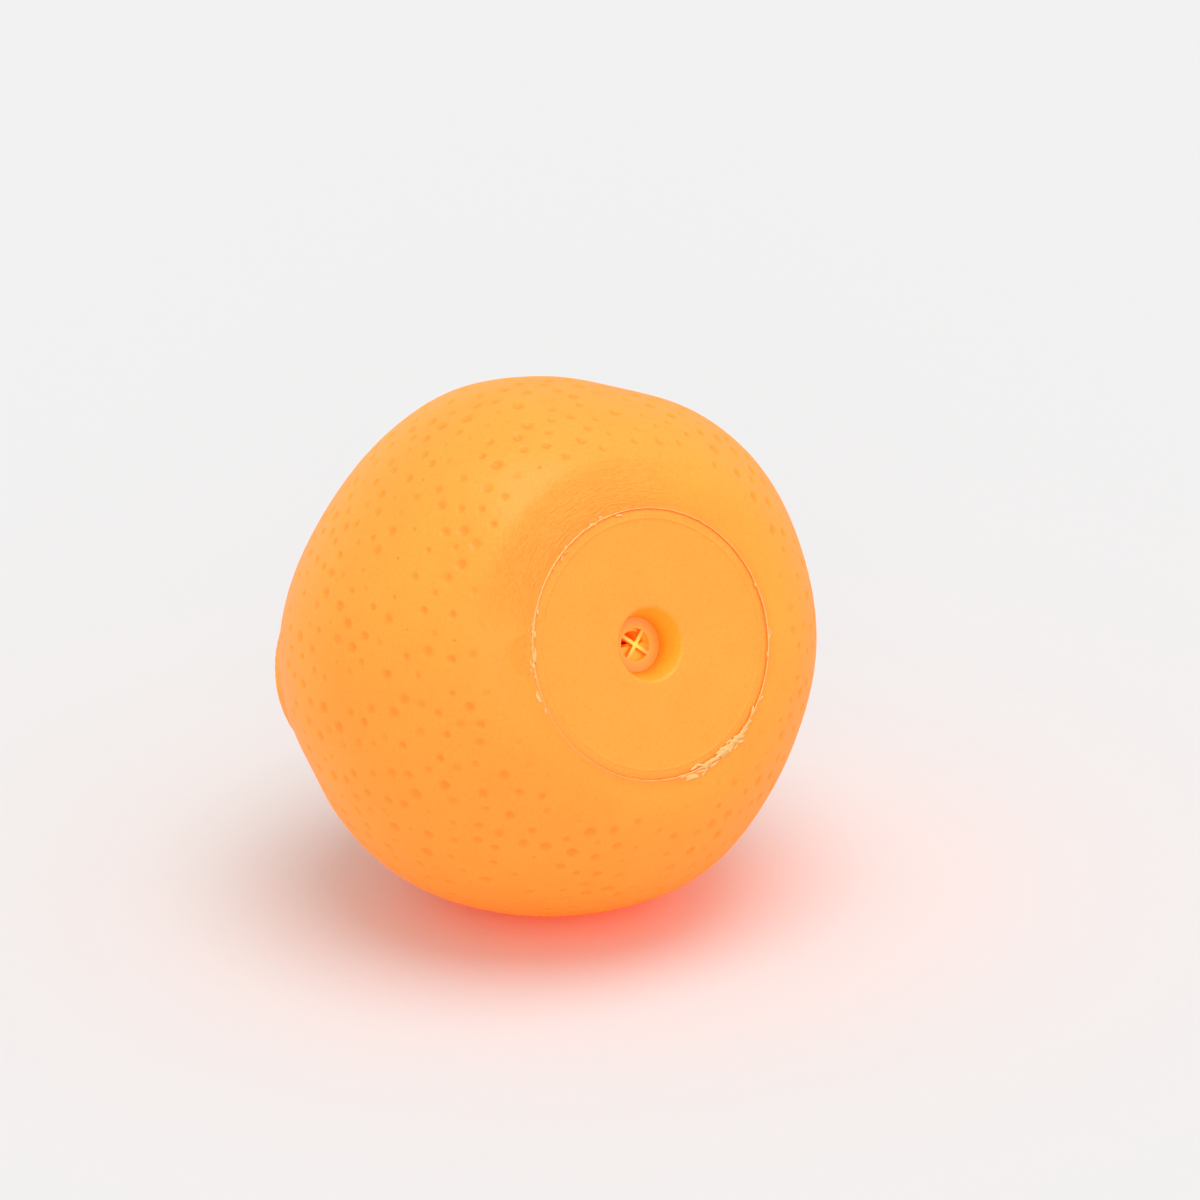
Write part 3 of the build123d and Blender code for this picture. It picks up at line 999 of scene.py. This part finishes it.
def build_plug():
    """The base disc, in a brighter copy of the vinyl: painted light for the light its face lacks."""
    plug = make_plug()
    material = vinyl_material("orange_disc_vinyl_painted_light", DISC_VINYL_PAINTED_LIGHT, VINYL_THROUGH, DISC_PAINTED_LIGHT_SHARE)
    plug.data.materials.append(material)
    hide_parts("base_plug")
    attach(plug, "shell")


def build_flash():
    """The flash on the seam."""
    flash = make_flash()
    material = vinyl_material("orange_flash_vinyl", FLASH_VINYL, FLASH_THROUGH, FLASH_SHARE)
    flash.data.materials.append(material)
    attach(flash, "shell")


def colour_squeaker():
    """The squeaker's CAD nodes stay as they are and get their plastics."""
    case = plastic_material("squeaker_plastic_and_bounce", CASE_TINT_AND_BOUNCE, CASE_THROUGH, CASE_SHARE)
    inner = plastic_material("squeaker_inner_plastic_and_bounce", INNER_TINT_AND_BOUNCE, INNER_THROUGH, INNER_SHARE)
    for name in ("squeaker_case", "squeaker_cap", "reed_trough", "reed_wedge", "reed_root", "reed_tongue"):
        for slot in frame["nodes"][name].material_slots:
            slot.material = case if name == "squeaker_case" else inner


# ---------------------------------------------------------------- stage
def make_floor():
    """A plain floor at z = 0."""
    mesh = bmesh.new()
    bmesh.ops.create_grid(mesh, x_segments=1, y_segments=1, size=FLOOR_SIZE)
    floor = as_object("floor", mesh)
    floor.data.materials.append(floor_material())


def add_lamp(name, kind, power):
    """A new light, with its object."""
    light = bpy.data.lights.new(name, kind)
    light.energy = power
    lamp = bpy.data.objects.new(name, light)
    bpy.context.collection.objects.link(lamp)
    return light, lamp


def make_lights():
    """Light from all round, as in a white tent, a softbox overhead and behind, and a fill from the camera."""
    softbox, lamp = add_lamp("softbox", "SUN", SOFTBOX_POWER)
    softbox.angle = math.radians(SOFTBOX_ANGLE)
    lamp.rotation_euler = SOFTBOX_WAY.to_track_quat("-Z", "Y").to_euler()
    fill, lamp = add_lamp("fill", "SUN", FILL_POWER)
    fill.angle = math.radians(FILL_ANGLE)
    lamp.rotation_euler = (-BACK).to_track_quat("-Z", "Y").to_euler()
    tent = bpy.data.worlds.new("studio")
    tent.use_nodes = True
    background = tent.node_tree.nodes["Background"]
    background.inputs[0].default_value = (1, 1, 1, 1)
    background.inputs[1].default_value = TENT_BRIGHTNESS
    bpy.context.scene.world = tent


def make_inner_glow():
    """The light that bright vinyl gathers: in the ball, from where it reddens the floor, and in the hole."""
    for name, height, aside, power, radius, green in GLOWS:
        light, lamp = add_lamp(name, "POINT", power)
        light.color = (1.0, green, GLOW_BLUE * green)
        light.shadow_soft_size = radius * MM
        lamp.location = BASE_MIDDLE + TOY_Z * (height * MM) + RIGHT * (aside * MM)
        lamp.visible_camera = False
        lamp.visible_glossy = False


def make_camera():
    """The photograph's view."""
    camera = bpy.data.cameras.new("camera")
    camera.sensor_width = SENSOR
    camera.lens = SENSOR * VIEW_DISTANCE * SCALE / FRAME
    camera.clip_end = FAR_CLIP
    item = bpy.data.objects.new("camera", camera)
    bpy.context.collection.objects.link(item)
    aim = BALL_MIDDLE + RIGHT * AIM_RIGHT + UP * AIM_UP
    turn = Matrix((RIGHT, UP, BACK)).transposed().to_4x4()
    item.matrix_world = Matrix.Translation(aim + BACK * VIEW_DISTANCE) @ turn
    bpy.context.scene.camera = item


build_skin()
build_plug()
build_flash()
colour_squeaker()
make_floor()
make_lights()
make_inner_glow()
make_camera()
bpy.context.scene.view_settings.view_transform = "Standard"
